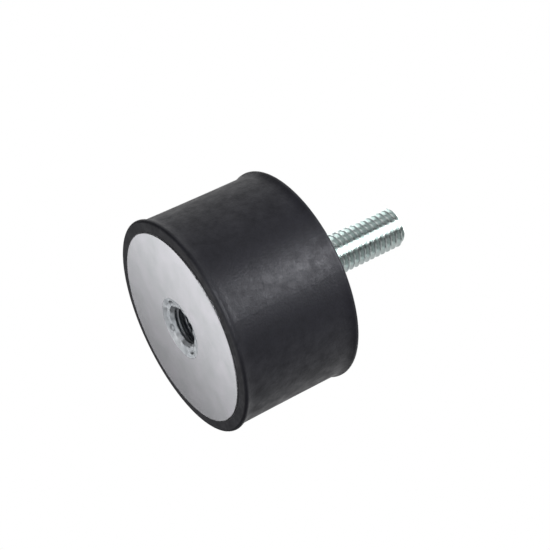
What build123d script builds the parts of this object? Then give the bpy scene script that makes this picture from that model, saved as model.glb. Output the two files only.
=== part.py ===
"""Bobbin vibration mount: a rubber cylinder bonded between two steel plates.

One plate carries a blind threaded insert, the other a threaded stud. The axis of the mount is Z.
It stands on its socket face: that steel face is the plane Z = 0, with the origin at its centre,
and the stud points up.
"""

import os

from build123d import *

os.makedirs("parts", exist_ok=True)

# Driving dimensions, in millimetres

# Whole mount
mount_height = 30.0            # from steel face to steel face

# Two steel end plates
plate_radius = 22.4
plate_thickness = 2.5
plate_edge_round = 0.3         # visible edge, which stands clear of the rubber

# Rubber body
rim_cover = 2.6                # rubber outside the edge of a plate
rim_round = 0.6                # outer edge of a rim
rim_width = 0.8                # from the rubber's end face to the end of the rim's crest
rim_proud = 0.55               # rim above the wall
neck_length = 1.3              # slope from the rim's crest down to the wall
neck_round = 4.0               # hollow where the slope meets the wall
crest_round = 0.5              # edge where the crest meets the slope
waist_depth = 0.05             # how far the wall bows in at mid height

# Threaded insert, drilled and tapped M10 x 1.5
socket_radius = 4.25           # tapping drill
socket_depth = 11.0            # from the steel face to the blind end
socket_mouth_chamfer = 0.9
insert_wall = 2.4
insert_floor = 2.0
insert_end_chamfer = 0.8
insert_flange_across_flats = 18.0
insert_flange_thickness = 2.0
dish_depth = 0.35              # the staked face slopes in towards the mouth
dish_flare = 0.5               # staked metal spread into the plate's countersink

# Punch marks that stake the insert into its plate
stake_mark_count = 4
stake_mark_radius = 1.0
stake_mark_depth = 0.9         # below the steel face
stake_mark_inset = 0.25        # centre of a mark outside the edge of the mouth

# Stud, threaded M10 x 1.5 over the length that shows
stud_radius = 4.87             # crest of the thread, at the small end of its tolerance
stud_reach = 29.0              # beyond the steel face
stud_tip_chamfer = 1.2
stud_neck_radius = 5.2         # plain neck pressed into the plate
stud_head_across_flats = 18.0
stud_head_thickness = 4.0
stud_head_chamfer = 0.8

# Sizes that follow from them

rim_radius = plate_radius + rim_cover
wall_radius = rim_radius - rim_proud
waist_radius = wall_radius - waist_depth
rubber_base = plate_edge_round
socket_mouth_radius = socket_radius + socket_mouth_chamfer
insert_radius = socket_radius + insert_wall
insert_length = socket_depth + insert_floor
dish_radius = insert_radius + dish_flare
stake_circle_radius = socket_mouth_radius + stake_mark_inset
stud_plate_base = mount_height - plate_thickness
stud_head_base = stud_plate_base - stud_head_thickness

# Socket plate: its hole is countersunk on the steel face, for the staked metal

with BuildPart() as socket_plate:
    with BuildSketch(Plane.XY):
        Circle(plate_radius)
        Circle(insert_radius, mode=Mode.SUBTRACT)
    extrude(amount=plate_thickness)
    face_edges = socket_plate.edges().filter_by(GeomType.CIRCLE).group_by(Axis.Z)[0]
    fillet(face_edges.sort_by(SortBy.RADIUS)[-1], plate_edge_round)
    hole_edges = socket_plate.edges().filter_by(GeomType.CIRCLE).group_by(Axis.Z)[0]
    chamfer(hole_edges.sort_by(SortBy.RADIUS)[0], dish_flare)

# Threaded insert: a blind bush with a hexagonal flange behind the plate

with BuildPart() as threaded_insert:
    with BuildSketch(Plane.XZ):
        with BuildLine():
            Polyline(
                (0, 0),
                (dish_radius, 0),
                (insert_radius, dish_flare),
                (insert_radius, insert_length - insert_end_chamfer),
                (insert_radius - insert_end_chamfer, insert_length),
                (0, insert_length),
                close=True,
            )
        make_face()
    revolve(axis=Axis.Z)
    with BuildSketch(Plane.XY.offset(plate_thickness)):
        RegularPolygon(insert_flange_across_flats / 2, side_count=6, major_radius=False)
    extrude(amount=insert_flange_thickness)
    with BuildSketch(Plane.XZ):
        with BuildLine():
            Polyline(
                (0, 0),
                (dish_radius, 0),
                (socket_mouth_radius, dish_depth),
                (socket_radius, dish_depth + socket_mouth_chamfer),
                (socket_radius, socket_depth),
                (0, socket_depth),
                close=True,
            )
        make_face()
    revolve(axis=Axis.Z, mode=Mode.SUBTRACT)
    with BuildSketch(Plane.XY):
        with PolarLocations(stake_circle_radius, stake_mark_count):
            Circle(stake_mark_radius)
    extrude(amount=stake_mark_depth, mode=Mode.SUBTRACT)

# Stud plate

with BuildPart() as stud_plate:
    with BuildSketch(Plane.XY.offset(stud_plate_base)):
        Circle(plate_radius)
        Circle(stud_neck_radius, mode=Mode.SUBTRACT)
    extrude(amount=plate_thickness)
    face_edges = stud_plate.edges().filter_by(GeomType.CIRCLE).group_by(Axis.Z)[-1]
    fillet(face_edges.sort_by(SortBy.RADIUS)[-1], plate_edge_round)

# Stud: a hexagonal head in the rubber, a neck in the plate and the threaded length outside

with BuildPart() as threaded_stud:
    with BuildSketch(Plane.XY.offset(stud_head_base)):
        RegularPolygon(stud_head_across_flats / 2, side_count=6, major_radius=False)
    extrude(amount=stud_head_thickness)
    chamfer(threaded_stud.edges().group_by(Axis.Z)[0], stud_head_chamfer)
    with BuildSketch(Plane.XY.offset(stud_plate_base)):
        Circle(stud_neck_radius)
    extrude(amount=plate_thickness)
    with BuildSketch(Plane.XY.offset(mount_height)):
        Circle(stud_radius)
    extrude(amount=stud_reach)
    chamfer(threaded_stud.edges().group_by(Axis.Z)[-1], stud_tip_chamfer)

# Rubber body: half a section turned about the axis, open where the socket and the steel are

with BuildPart() as rubber_body:
    with BuildSketch(Plane.XZ) as rubber_section:
        with BuildLine():
            lower_crest_end = rubber_base + rim_width
            lower_neck_end = lower_crest_end + neck_length
            lower_rim = Polyline(
                (0, rubber_base),
                (rim_radius, rubber_base),
                (rim_radius, lower_crest_end),
                (wall_radius, lower_neck_end),
            )
            upper_rim = Polyline(
                (wall_radius, mount_height - lower_neck_end),
                (rim_radius, mount_height - lower_crest_end),
                (rim_radius, mount_height - rubber_base),
                (0, mount_height - rubber_base),
            )
            ThreePointArc(lower_rim @ 1, (waist_radius, mount_height / 2), upper_rim @ 0)
            Line(upper_rim @ 1, lower_rim @ 0)
        make_face()
        fillet(rubber_section.vertices().group_by(Axis.X)[-2], neck_round)
        crest = rubber_section.vertices().group_by(Axis.X)[-1].sort_by(Axis.Y)
        fillet(crest[1:3], crest_round)
        crest = rubber_section.vertices().group_by(Axis.X)[-1].sort_by(Axis.Y)
        fillet([crest[0], crest[-1]], rim_round)
    revolve(axis=Axis.Z)
    with BuildSketch(Plane.XY):
        Circle(insert_radius)
    extrude(amount=plate_thickness, mode=Mode.SUBTRACT)
    with BuildSketch(Plane.XY):
        Circle(socket_radius)
    extrude(amount=socket_depth, mode=Mode.SUBTRACT)
    for steel_piece in (socket_plate, threaded_insert, stud_plate, threaded_stud):
        add(steel_piece.part, mode=Mode.SUBTRACT)

# Labels and files

socket_plate.part.label = "socket_plate"
threaded_insert.part.label = "threaded_insert"
stud_plate.part.label = "stud_plate"
threaded_stud.part.label = "threaded_stud"
rubber_body.part.label = "rubber_body"

export_step(socket_plate.part, "parts/socket_plate.step")
export_step(threaded_insert.part, "parts/threaded_insert.step")
export_step(stud_plate.part, "parts/stud_plate.step")
export_step(threaded_stud.part, "parts/threaded_stud.step")
export_step(rubber_body.part, "parts/rubber_body.step")
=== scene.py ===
"""Looks of the bobbin vibration mount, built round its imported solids. Metres, +Z up."""

import math

import bpy
import numpy as np
from mathutils import Matrix, Quaternion, Vector


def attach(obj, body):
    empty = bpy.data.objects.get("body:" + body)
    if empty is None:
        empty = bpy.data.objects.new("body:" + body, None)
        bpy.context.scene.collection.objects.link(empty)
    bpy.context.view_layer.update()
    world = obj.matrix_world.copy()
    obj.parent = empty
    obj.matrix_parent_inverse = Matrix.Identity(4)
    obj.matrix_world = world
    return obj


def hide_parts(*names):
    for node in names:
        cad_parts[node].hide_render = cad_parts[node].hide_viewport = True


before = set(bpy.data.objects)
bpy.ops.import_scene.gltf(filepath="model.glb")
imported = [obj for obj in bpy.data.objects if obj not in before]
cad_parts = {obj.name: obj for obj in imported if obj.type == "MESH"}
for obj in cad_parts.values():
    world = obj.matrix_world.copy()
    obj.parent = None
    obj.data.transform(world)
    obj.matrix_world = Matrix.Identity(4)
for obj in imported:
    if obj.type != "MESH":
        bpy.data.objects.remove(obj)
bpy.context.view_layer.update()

MM = 0.001

# Sizes of the solids that the dressed pieces repeat, in millimetres

mount_height = 30.0
plate_thickness = 2.5
socket_radius = 4.25
socket_depth = 11.0
socket_mouth_chamfer = 0.9
insert_radius = 6.65
insert_length = 13.0
insert_end_chamfer = 0.8
insert_flange_apothem = 9.0
insert_flange_thickness = 2.0
dish_depth = 0.35
dish_radius = 7.15
dish_flare = 0.5
stake_mark_count = 4
stake_mark_radius = 1.0
stake_mark_depth = 0.9
stake_circle_radius = 5.4
stud_radius = 4.87
stud_reach = 29.0
stud_tip_chamfer = 1.2
stud_neck_radius = 5.2
stud_head_apothem = 9.0
stud_head_thickness = 4.0
stud_head_chamfer = 0.8

# Thread, M10 x 1.5

thread_pitch = 1.5
thread_depth = 0.92
crest_share = 0.06        # share of half a pitch that is flat at the crest
root_share = 0.25         # share of half a pitch that is flat at the root
thread_clear = 0.01       # keeps the crests just inside the solid's outside

# Unevenness that the punches leave in the insert's face

wave_depth = 0.35
wave_reach = 1.2          # in from the edge, and again down the hole
first_wave = (5, 0.8)     # waves round the face, and their phase
second_wave = (8, 2.0)
face_clear = 0.02         # keeps the edge of the face just inside the solid

# Fineness of the meshes

segments = 160
rings_per_pitch = 16
face_step = 0.08          # between the rings of the staked face
sharp_angle = math.radians(35)


# Meshes from rings of points about the axis

angles = np.linspace(0, 2 * math.pi, segments, endpoint=False)


def ring(radius, height):
    """Points of one ring, in metres. Radius and height are numbers or one value per angle."""
    points = np.zeros((segments, 3))
    points[:, 0] = radius * np.cos(angles)
    points[:, 1] = radius * np.sin(angles)
    points[:, 2] = height
    return points * MM


def hexagon(apothem, height):
    """A ring that follows a hexagon with a corner on X."""
    from_flat = np.mod(angles, math.pi / 3) - math.pi / 6
    return ring(apothem / np.cos(from_flat), height)


def loft(name, rings):
    """Closed mesh through the rings, with a fan at each end."""
    count = len(rings)
    points = np.concatenate(rings + [rings[0].mean(0)[None], rings[-1].mean(0)[None]])
    low, high = count * segments, count * segments + 1
    along = np.arange(segments)
    after = np.roll(along, -1)
    faces = [(low, b, a) for a, b in zip(along, after)]
    for i in range(count - 1):
        near, far = i * segments, (i + 1) * segments
        faces += [(near + a, near + b, far + b, far + a) for a, b in zip(along, after)]
    last = (count - 1) * segments
    faces += [(last + a, last + b, high) for a, b in zip(along, after)]
    mesh = bpy.data.meshes.new(name)
    mesh.from_pydata(points.tolist(), [], faces)
    mesh.validate()
    for polygon in mesh.polygons:
        polygon.use_smooth = True
    mesh.set_sharp_from_angle(angle=sharp_angle)
    piece = bpy.data.objects.new(name, mesh)
    bpy.context.scene.collection.objects.link(piece)
    return piece


def thread_height(height):
    """Share of the thread's depth, from 0 at the root to 1 at the crest, round one ring."""
    turn = height / thread_pitch - angles / (2 * math.pi)
    from_crest = np.abs(np.mod(turn + 0.5, 1) - 0.5) * 2
    share = (1 - root_share - from_crest) / (1 - root_share - crest_share)
    share = np.clip(share, 0, 1)
    return share * share * (3 - 2 * share)


def steps(start, end, step):
    """Even values from start to end, at most a step apart."""
    return np.linspace(start, end, int(math.ceil(abs(end - start) / step)) + 1)


def make_stud():
    """Head, neck and threaded length in one closed mesh."""
    plate_base = mount_height - plate_thickness
    head_base = plate_base - stud_head_thickness
    tip = mount_height + stud_reach
    crest = stud_radius - thread_clear
    rings = [
        hexagon(stud_head_apothem - stud_head_chamfer, head_base),
        hexagon(stud_head_apothem, head_base + stud_head_chamfer),
        hexagon(stud_head_apothem, plate_base),
        ring(stud_neck_radius, plate_base),
        ring(stud_neck_radius, mount_height),
    ]
    for height in steps(mount_height, tip, thread_pitch / rings_per_pitch):
        threaded = crest - thread_depth * (1 - thread_height(height))
        cone = crest - stud_tip_chamfer + (tip - height)
        rings.append(ring(np.minimum(threaded, cone), height))
    return loft("stud_thread", rings)


def wave(turns, phase):
    """So many waves once round, one value per angle."""
    return np.sin(turns * angles + phase)


def punched(radius, height):
    """One ring of the staked face: uneven, and pressed in where a punch mark reaches."""
    from_edge = np.clip((dish_radius - radius) / wave_reach, 0, 1)
    from_hole = np.clip(1 - (height - dish_depth) / wave_reach, 0, 1)
    waves = (1 + wave(*first_wave) * wave(*second_wave)) / 2
    heights = height + wave_depth * from_edge * from_hole * waves
    for mark in range(stake_mark_count):
        angle = 2 * math.pi * mark / stake_mark_count
        x = radius * np.cos(angles) - stake_circle_radius * math.cos(angle)
        y = radius * np.sin(angles) - stake_circle_radius * math.sin(angle)
        away = np.hypot(x, y) / stake_mark_radius
        pressed = np.clip(1 - away * away, 0, 1)
        heights = heights + pressed * np.maximum(stake_mark_depth - heights, 0)
    return ring(radius, heights)


def make_insert():
    """Blind bush in one closed mesh. The punches have closed the first turn of its thread."""
    mouth = socket_radius + socket_mouth_chamfer
    rings = [
        ring(insert_radius - insert_end_chamfer, insert_length),
        ring(insert_radius, insert_length - insert_end_chamfer),
        ring(insert_radius, plate_thickness + insert_flange_thickness),
        hexagon(insert_flange_apothem, plate_thickness + insert_flange_thickness),
        hexagon(insert_flange_apothem, plate_thickness),
        ring(insert_radius, plate_thickness),
        ring(insert_radius, dish_flare),
        ring(dish_radius, face_clear),
    ]
    for radius in steps(dish_radius, mouth, face_step)[1:]:
        height = dish_depth * (dish_radius - radius) / (dish_radius - mouth)
        rings.append(punched(radius, height))
    for height in steps(dish_depth, socket_depth, thread_pitch / rings_per_pitch)[1:]:
        chamfered = mouth + dish_depth - height
        opened = min(max((height - dish_depth - socket_mouth_chamfer) / thread_pitch, 0), 1)
        threaded = socket_radius + opened * thread_depth * (1 - thread_height(height))
        rings.append(punched(np.maximum(chamfered, threaded), height))
    return loft("threaded_socket", rings[::-1])


# Nodes

def feed(tree, socket, value):
    """Links another node's output to the socket, or sets the socket to a plain value."""
    if isinstance(value, bpy.types.NodeSocket):
        tree.links.new(value, socket)
    else:
        socket.default_value = value


def add_node(tree, kind, output, inputs=(), **settings):
    """A new node with its settings, then its inputs. Gives the output of that name."""
    node = tree.nodes.new(kind)
    for setting, value in settings.items():
        setattr(node, setting, value)
    for socket, value in dict(inputs).items():
        feed(tree, node.inputs[socket], value)
    return node.outputs[output]


def compute(tree, operation, first, second, use_clamp=False):
    """The operation on two values, each a number or another node's output."""
    inputs = {0: first, 1: second}
    settings = {"operation": operation, "use_clamp": use_clamp}
    return add_node(tree, "ShaderNodeMath", "Value", inputs, **settings)


def mix(tree, factor, first, second, data_type="FLOAT"):
    """The first value where the factor is 0, and the second where it is 1."""
    inputs = {"Factor": factor, "A": first, "B": second}
    return add_node(tree, "ShaderNodeMix", "Result", inputs, data_type=data_type)


def spread(tree, value, start, end, low, high, interpolation_type="LINEAR"):
    """The value's range from start to end spread from low to high."""
    inputs = {
        "Value": value,
        "From Min": start,
        "From Max": end,
        "To Min": low,
        "To Max": high,
    }
    settings = {"interpolation_type": interpolation_type}
    return add_node(tree, "ShaderNodeMapRange", "Result", inputs, **settings)


def smooth_step(tree, value, start, end, low=0, high=1):
    """Low before the start and high beyond the end, with a smooth rise between them."""
    return spread(tree, value, start, end, low, high, "SMOOTHSTEP")


# Materials

noise_low, noise_high = 0.3, 0.7      # nearly all of a noise lies between them


def noise(tree, scale, detail, roughness=0.5):
    """Noise in the object's own coordinates. Scale is in patches for each metre."""
    place = add_node(tree, "ShaderNodeTexCoord", "Object")
    inputs = {"Vector": place, "Scale": scale, "Detail": detail, "Roughness": roughness}
    return add_node(tree, "ShaderNodeTexNoise", "Fac", inputs)


def spread_noise(tree, value, low, high):
    """A noise spread from low to high."""
    return spread(tree, value, noise_low, noise_high, low, high)


def bump(tree, height, strength, distance):
    inputs = {"Height": height, "Strength": strength, "Distance": distance}
    return add_node(tree, "ShaderNodeBump", "Normal", inputs)


def new_material(name):
    material = bpy.data.materials.new(name)
    material.use_nodes = True
    return material


def set_shader(material, **inputs):
    """Feeds the shader's sockets, named with _ for a space."""
    tree = material.node_tree
    for socket, value in inputs.items():
        feed(tree, tree.nodes["Principled BSDF"].inputs[socket.replace("_", " ")], value)


def rubber_material(dark, light, dull, glossy, bloom_scale, grain_scale):
    """Black rubber with a smoky bloom, whose paler patches are glossier."""
    material = new_material("moulded_rubber")
    tree = material.node_tree
    bloom = noise(tree, bloom_scale, detail=8, roughness=0.72)
    grain = noise(tree, grain_scale, detail=5)
    set_shader(
        material,
        Metallic=0.0,
        Specular_Tint=(0.93, 0.94, 1.0, 1.0),
        Base_Color=mix(tree, spread_noise(tree, bloom, 0, 1), dark, light, "RGBA"),
        Roughness=spread_noise(tree, bloom, dull, glossy),
        Normal=bump(tree, grain, strength=0.26, distance=0.0002),
    )
    return material


def plated_material(name, dark, light, glossy, dull, grain_scale, grain_strength):
    """Zinc-plated steel, clouded in colour and grained in roughness and height."""
    material = new_material(name)
    tree = material.node_tree
    cloud = noise(tree, scale=160, detail=4)
    grain = noise(tree, grain_scale, detail=3)
    set_shader(
        material,
        Metallic=1.0,
        Base_Color=mix(tree, spread_noise(tree, cloud, 0, 1), dark, light, "RGBA"),
        Roughness=spread_noise(tree, grain, glossy, dull),
        Normal=bump(tree, grain, grain_strength, distance=0.0001),
    )
    return material


rubber = rubber_material(
    dark=(0.004, 0.004, 0.007, 1),
    light=(0.02, 0.02, 0.026, 1),
    dull=0.6,
    glossy=0.36,
    bloom_scale=330,
    grain_scale=1900,
)
disc_steel = plated_material(
    "plated_disc",
    dark=(0.56, 0.575, 0.595, 1),
    light=(0.655, 0.645, 0.69, 1),
    glossy=0.165,
    dull=0.205,
    grain_scale=3500,
    grain_strength=0.01,
)
insert_steel = plated_material(
    "plated_insert",
    dark=(0.42, 0.45, 0.48, 1),
    light=(0.6, 0.62, 0.64, 1),
    glossy=0.36,
    dull=0.5,
    grain_scale=1400,
    grain_strength=0.5,
)
stud_steel = plated_material(
    "plated_stud",
    dark=(0.52, 0.59, 0.58, 1),
    light=(0.6, 0.66, 0.65, 1),
    glossy=0.16,
    dull=0.24,
    grain_scale=2500,
    grain_strength=0.1,
)


# Pieces

def dress(node_name, material):
    """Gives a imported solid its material."""
    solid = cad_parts[node_name]
    solid.data.materials.clear()
    solid.data.materials.append(material)
    return solid


def stand_for(piece, node_name, material):
    """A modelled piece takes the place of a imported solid."""
    piece.data.materials.append(material)
    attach(piece, "root")
    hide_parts(node_name)


body = dress("rubber_body", rubber)
socket_disc = dress("socket_plate", disc_steel)
stud_disc = dress("stud_plate", disc_steel)
stud = make_stud()
stand_for(stud, "threaded_stud", stud_steel)
insert = make_insert()
stand_for(insert, "threaded_insert", insert_steel)


# Camera: where the photograph was taken from, below the socket face and beside the axis

camera_place = Vector((295.49, -45.20, -110.67)) * MM
camera_forward = Vector((-0.89991, 0.13288, 0.41535))
camera_up = Vector((0.04478, -0.91898, 0.39175))
focal_length = 96.29

camera_data = bpy.data.cameras.new("camera")
camera_data.sensor_width = 36.0
camera_data.lens = focal_length
camera_data.clip_start = 0.01
camera = bpy.data.objects.new("camera", camera_data)
bpy.context.scene.collection.objects.link(camera)
right = camera_forward.cross(camera_up).normalized()
up = right.cross(camera_forward).normalized()
turned = Matrix((right, up, -camera_forward)).transposed().to_4x4()
camera.matrix_world = Matrix.Translation(camera_place) @ turned
bpy.context.scene.camera = camera


# Lamps: each lights one piece only, because each piece mirrors its own part of the studio.
# Only the overhead lamp lights them all.

camera_azimuth = math.atan2(-camera_forward.y, -camera_forward.x)


def bearing(azimuth, elevation):
    """Unit vector. The azimuth is measured from the camera's side of the mount, in degrees."""
    around = math.radians(azimuth) + camera_azimuth
    rise = math.radians(elevation)
    flat = math.cos(rise)
    return Vector((flat * math.cos(around), flat * math.sin(around), math.sin(rise)))


def softbox(name, direction, distance, width, height, radiance, aim, roll, piece):
    """A lamp that faces the axis at the height of its aim. A radiance of 1 is white."""
    data = bpy.data.lights.new(name, "AREA")
    data.shape = "RECTANGLE"
    data.size = width
    data.size_y = height
    data.energy = radiance * math.pi * width * height
    lamp = bpy.data.objects.new(name, data)
    bpy.context.scene.collection.objects.link(lamp)
    lamp.location = Vector((0, 0, aim)) + direction * distance
    turned = direction.to_track_quat("Z", "Y") @ Quaternion((0, 0, 1), math.radians(roll))
    lamp.rotation_euler = turned.to_euler()
    lamp.visible_camera = False
    if piece:
        lit = bpy.data.collections.new(name + "_lit")
        lit.objects.link(piece)
        lamp.light_linking.receiver_collection = lit


over_tip = Vector((-0.1, -0.11, 0.99)).normalized()
socket_face, stud_face, stud_middle = 0, 0.03, 0.045

# Name, direction, distance, width, height, radiance, aim, roll in degrees, and piece
softboxes = (
    ("key", bearing(-2.5, 31), 0.26, 0.075, 0.14, 2.8, stud_face, 0, body),
    ("near_key", bearing(-2.5, 21), 0.1, 0.03, 0.02, 15.0, 0.022, 0, body),
    ("low_key", bearing(-2.5, -14), 0.26, 0.075, 0.1, 12.0, stud_face, 0, body),
    ("rim", bearing(188, -42), 0.49, 0.3, 0.3, 0.8, socket_face, 0, body),
    ("disc", bearing(185.5, -32.3), 0.49, 0.25, 0.22, 1.24, socket_face, 12, socket_disc),
    ("insert", bearing(186, -30), 0.49, 0.4, 0.3, 1.2, socket_face, 0, insert),
    ("mouth", bearing(120, -42), 0.49, 0.3, 0.3, 0.3, socket_face, 0, insert),
    ("overhead", over_tip, 0.5, 0.15, 0.15, 6.0, stud_face, 0, None),
    ("stud_disc", bearing(-36, 22), 0.5, 0.7, 0.5, 0.6, stud_face, 0, stud_disc),
    ("strip", bearing(1, 30), 0.5, 0.36, 0.7, 5.5, stud_middle, 0, stud),
    ("left_side", bearing(-62, 10), 0.5, 0.29, 0.7, 0.45, stud_middle, 0, stud),
    ("left_limb", bearing(-134, -5), 0.5, 0.65, 0.7, 2.1, stud_middle, 0, stud),
    ("right_limb", bearing(140, -5), 0.5, 0.6, 0.7, 0.6, stud_middle, 0, stud),
    ("tip", bearing(180, 65), 0.5, 0.4, 0.3, 2.5, stud_middle, 0, stud),
)


# World

# Brightness of the studio's walls by azimuth, from the far side round to the far side again
studio_walls = (
    (-180, 0.9),
    (-120, 0.68),
    (-68, 0.6),
    (-58, 0.13),
    (45, 0.1),
    (57, 0.3),
    (72, 0.5),
    (120, 0.6),
    (180, 0.9),
)
studio_nadir = 1.0                    # straight below the socket
studio_floor = 0.04
studio_ceiling = 0.3

# Where they blend, by the rise of a ray from -1 straight down to 1 straight up
nadir_to_floor = (-0.96, -0.7)
floor_to_walls = (-0.15, 0.2)
walls_to_ceiling = (0.7, 0.95)


def make_world():
    """White for the camera. Other rays see a studio that is dark on the camera's side."""
    world = bpy.data.worlds.new("studio")
    bpy.context.scene.world = world
    world.use_nodes = True
    tree = world.node_tree
    tree.nodes.clear()
    place = add_node(tree, "ShaderNodeTexCoord", "Generated")

    def part_along(direction):
        inputs = {0: place, 1: tuple(direction)}
        return add_node(tree, "ShaderNodeVectorMath", "Value", inputs, operation="DOT_PRODUCT")

    def by_azimuth(azimuth):
        """Place on the ramp, which runs once round from 0 to 1."""
        return azimuth / 360 + 0.5

    sideways, ahead = part_along(bearing(90, 0)), part_along(bearing(0, 0))
    around = compute(tree, "ARCTAN2", sideways, ahead)
    turn = compute(tree, "ADD", compute(tree, "DIVIDE", around, 2 * math.pi), 0.5)
    walls = tree.nodes.new("ShaderNodeValToRGB")
    walls.color_ramp.interpolation = "EASE"
    for azimuth, brightness in studio_walls[1:-1]:
        walls.color_ramp.elements.new(by_azimuth(azimuth))
    for element, (azimuth, brightness) in zip(walls.color_ramp.elements, studio_walls):
        element.position = by_azimuth(azimuth)
        element.color = (brightness, brightness, brightness, 1)
    feed(tree, walls.inputs["Fac"], turn)
    rise = part_along((0, 0, 1))
    room = mix(tree, smooth_step(tree, rise, *floor_to_walls), studio_floor, walls.outputs["Color"])
    room = mix(tree, smooth_step(tree, rise, *nadir_to_floor), studio_nadir, room)
    room = mix(tree, smooth_step(tree, rise, *walls_to_ceiling), room, studio_ceiling)
    camera_ray = add_node(tree, "ShaderNodeLightPath", "Is Camera Ray")
    light = {"Color": (1, 1, 1, 1), "Strength": mix(tree, camera_ray, room, 1.0)}
    background = add_node(tree, "ShaderNodeBackground", "Background", light)
    output = tree.nodes.new("ShaderNodeOutputWorld")
    feed(tree, output.inputs["Surface"], background)


make_world()
for row in softboxes:
    softbox(*row)


# Floor: seen from above only, so that the view from below looks past it, and fading to white

floor_radius = 0.9
floor_clear_radius = 0.3              # the fade starts here
floor_depth = 0.0002                  # below the socket face
floor_colour = (0.86, 0.86, 0.86, 1)
floor_glow = 0.45


def make_floor():
    """A pale disc that only the camera sees and that keeps the mount's shadow."""
    rim = [(floor_radius * math.cos(a), floor_radius * math.sin(a), -floor_depth) for a in angles]
    mesh = bpy.data.meshes.new("floor")
    mesh.from_pydata(rim, [], [tuple(range(segments))])
    floor = bpy.data.objects.new("floor", mesh)
    bpy.context.scene.collection.objects.link(floor)
    material = new_material("floor")
    set_shader(
        material,
        Base_Color=floor_colour,
        Roughness=0.8,
        Emission_Color=floor_colour,
        Emission_Strength=floor_glow,
    )
    tree = material.node_tree
    camera_ray = add_node(tree, "ShaderNodeLightPath", "Is Camera Ray")
    from_below = add_node(tree, "ShaderNodeNewGeometry", "Backfacing")
    place = add_node(tree, "ShaderNodeTexCoord", "Object")
    away = add_node(tree, "ShaderNodeVectorMath", "Value", {0: place}, operation="LENGTH")
    faded = smooth_step(tree, away, floor_clear_radius, floor_radius, low=1, high=0)
    from_above = compute(tree, "SUBTRACT", camera_ray, from_below, use_clamp=True)
    shown = compute(tree, "MULTIPLY", from_above, faded)
    clear = add_node(tree, "ShaderNodeBsdfTransparent", "BSDF")
    pale = tree.nodes["Principled BSDF"].outputs["BSDF"]
    surface = add_node(tree, "ShaderNodeMixShader", "Shader", {"Fac": shown, 1: clear, 2: pale})
    feed(tree, tree.nodes["Material Output"].inputs["Surface"], surface)
    mesh.materials.append(material)


make_floor()

bpy.context.scene.view_settings.view_transform = "Standard"
